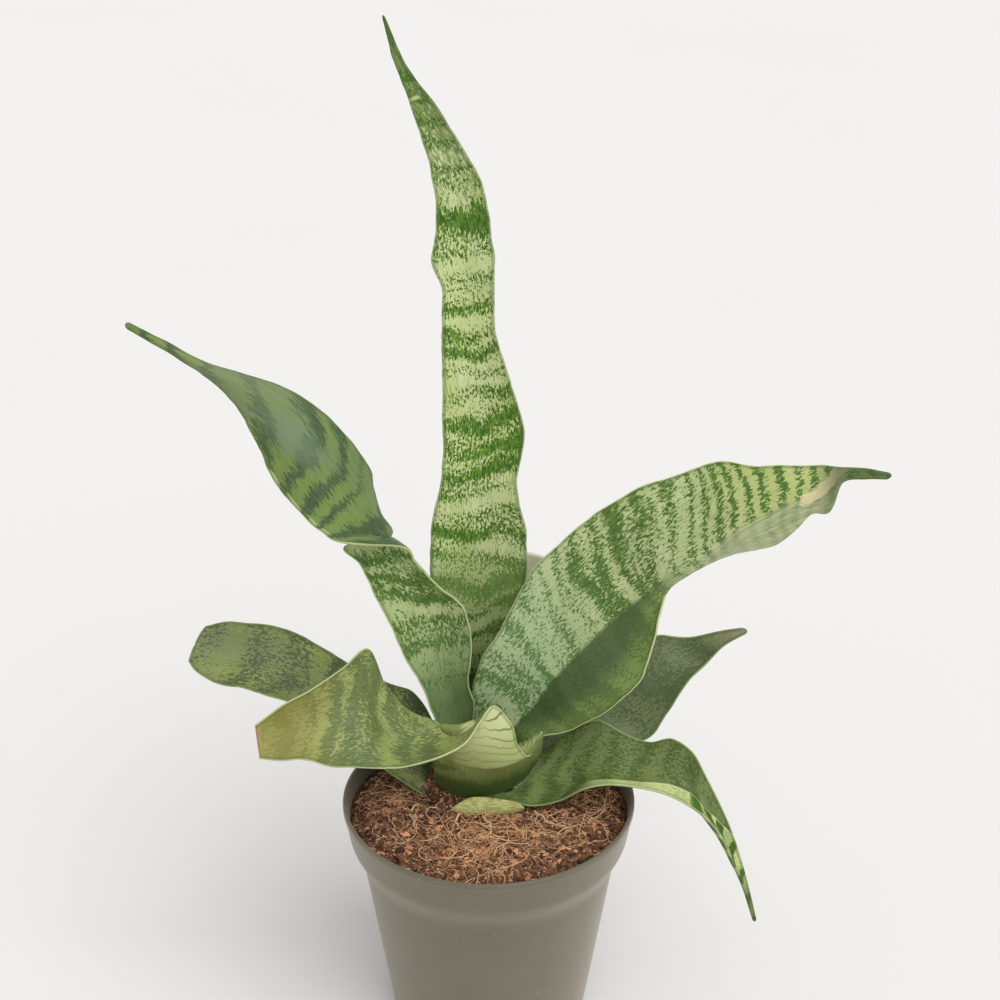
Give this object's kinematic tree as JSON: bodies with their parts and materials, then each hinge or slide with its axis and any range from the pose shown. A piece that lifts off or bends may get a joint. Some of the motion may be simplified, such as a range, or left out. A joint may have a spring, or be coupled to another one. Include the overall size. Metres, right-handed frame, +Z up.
{
  "type": "potted snake plant",
  "caption": "Small snake plant with stiff, banded, sword-shaped leaves in a round tapered plastic nursery pot with a collar and drain holes.",
  "frame": {"origin": "centre of the pot's flat underside", "axes": "+Z up along the pot's axis, -Y towards the broad front view of the plant, +X to that view's right"},
  "size_m": [0.214, 0.09, 0.3179],
  "materials": {
    "pot_plastic": "semi-matte recycled grey-brown plastic with faint scuffs",
    "potting_mix": "loose reddish-brown coir fibre and bark, matte",
    "rhizome": "pale fibrous root stock",
    "leaf": "waxy green blade with jagged light and dark cross bands and thin pale margins",
    "sheath": "pale yellow-green fibrous scale",
    "root": "dry pale root"
  },
  "bodies": {
    "root": {"pot": "pot_plastic", "potting_mix": "potting_mix", "rhizome": "rhizome", "leaf_centre_tall": "leaf", "leaf_left_twisted": "leaf", "leaf_right_arching": "leaf", "leaf_right_back": "leaf", "leaf_right_drooping": "leaf", "leaf_front_folded": "leaf", "leaf_left_low": "leaf", "leaf_back_short": "leaf", "basal_sheath": "sheath", "surface_root_1": "root", "surface_root_2": "root", "surface_root_3": "root", "surface_root_4": "root", "surface_root_5": "root"}
  },
  "joints": []
}
